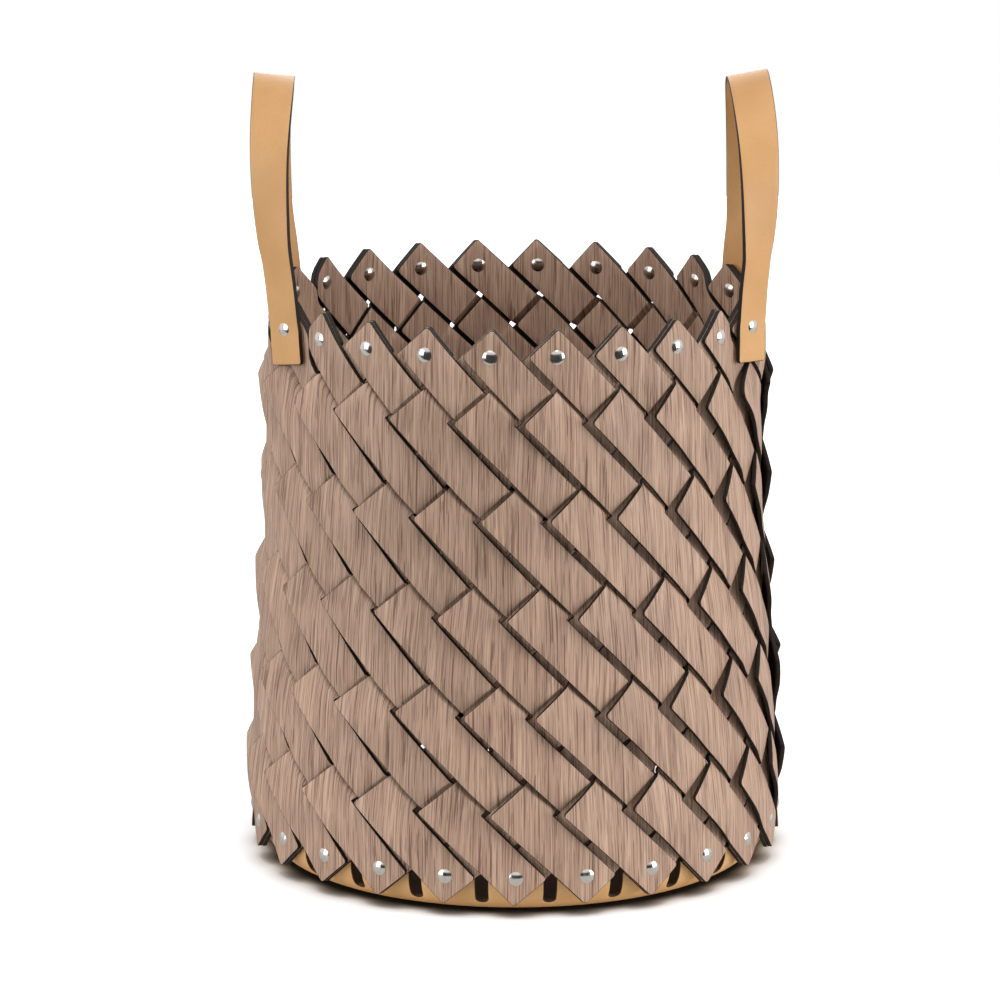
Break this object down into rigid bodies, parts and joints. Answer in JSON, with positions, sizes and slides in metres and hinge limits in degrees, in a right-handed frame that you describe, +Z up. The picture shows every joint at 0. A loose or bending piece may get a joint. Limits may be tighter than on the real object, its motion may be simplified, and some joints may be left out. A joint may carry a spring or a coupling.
{
  "type": "woven basket",
  "caption": "Round open-topped storage basket woven from zigzag leather strips in two layers, riveted to a dished leather base, with two flexing strap handles at the rim.",
  "frame": {"origin": "centre of the flat bottom of the base, on the ground, on the axis of the basket", "axes": "+Z up along the basket axis; the handles stand on the -X and +X sides; -Y faces the front"},
  "size_m": [0.3892, 0.3892, 0.5606],
  "materials": {
    "strip_leather": "matte taupe leather with a fine vertical wood grain, near-black cut edges",
    "base_leather": "satin natural tan leather",
    "handle_leather": "satin natural tan leather with near-black cut edges",
    "rivet_metal": "polished nickel caps"
  },
  "bodies": {
    "basket": {"outside_strip_01": "strip_leather", "outside_strip_02": "strip_leather", "outside_strip_03": "strip_leather", "outside_strip_04": "strip_leather", "outside_strip_05": "strip_leather", "outside_strip_06": "strip_leather", "outside_strip_07": "strip_leather", "outside_strip_08": "strip_leather", "outside_strip_09": "strip_leather", "outside_strip_10": "strip_leather", "outside_strip_11": "strip_leather", "outside_strip_12": "strip_leather", "outside_strip_13": "strip_leather", "outside_strip_14": "strip_leather", "outside_strip_15": "strip_leather", "outside_strip_16": "strip_leather", "outside_strip_17": "strip_leather", "outside_strip_18": "strip_leather", "outside_strip_19": "strip_leather", "outside_strip_20": "strip_leather", "outside_strip_21": "strip_leather", "outside_strip_22": "strip_leather", "outside_strip_23": "strip_leather", "outside_strip_24": "strip_leather", "inside_strip_01": "strip_leather", "inside_strip_02": "strip_leather", "inside_strip_03": "strip_leather", "inside_strip_04": "strip_leather", "inside_strip_05": "strip_leather", "inside_strip_06": "strip_leather", "inside_strip_07": "strip_leather", "inside_strip_08": "strip_leather", "inside_strip_09": "strip_leather", "inside_strip_10": "strip_leather", "inside_strip_11": "strip_leather", "inside_strip_12": "strip_leather", "inside_strip_13": "strip_leather", "inside_strip_14": "strip_leather", "inside_strip_15": "strip_leather", "inside_strip_16": "strip_leather", "inside_strip_17": "strip_leather", "inside_strip_18": "strip_leather", "inside_strip_19": "strip_leather", "inside_strip_20": "strip_leather", "inside_strip_21": "strip_leather", "inside_strip_22": "strip_leather", "inside_strip_23": "strip_leather", "inside_strip_24": "strip_leather", "base": "base_leather", "rim_rivets": "rivet_metal", "base_rivets": "rivet_metal", "handle_rivets": "rivet_metal", "left_handle_front_end": "handle_leather", "left_handle_back_end": "handle_leather", "right_handle_front_end": "handle_leather", "right_handle_back_end": "handle_leather"},
    "left_handle": {"left_handle_loop": "handle_leather"},
    "right_handle": {"right_handle_loop": "handle_leather"}
  },
  "joints": [
    {"name": "left_handle_flex", "type": "hinge", "parent": "basket", "child": "left_handle", "pos_m": [-0.16462, 0, 0.4218], "axis": [0, -1, 0], "range_deg": [-60, 75], "stiffness_Nm_per_rad": 0.5},
    {"name": "right_handle_flex", "type": "hinge", "parent": "basket", "child": "right_handle", "pos_m": [0.16462, 0, 0.4218], "axis": [0, 1, 0], "range_deg": [-60, 75], "stiffness_Nm_per_rad": 0.5}
  ]
}
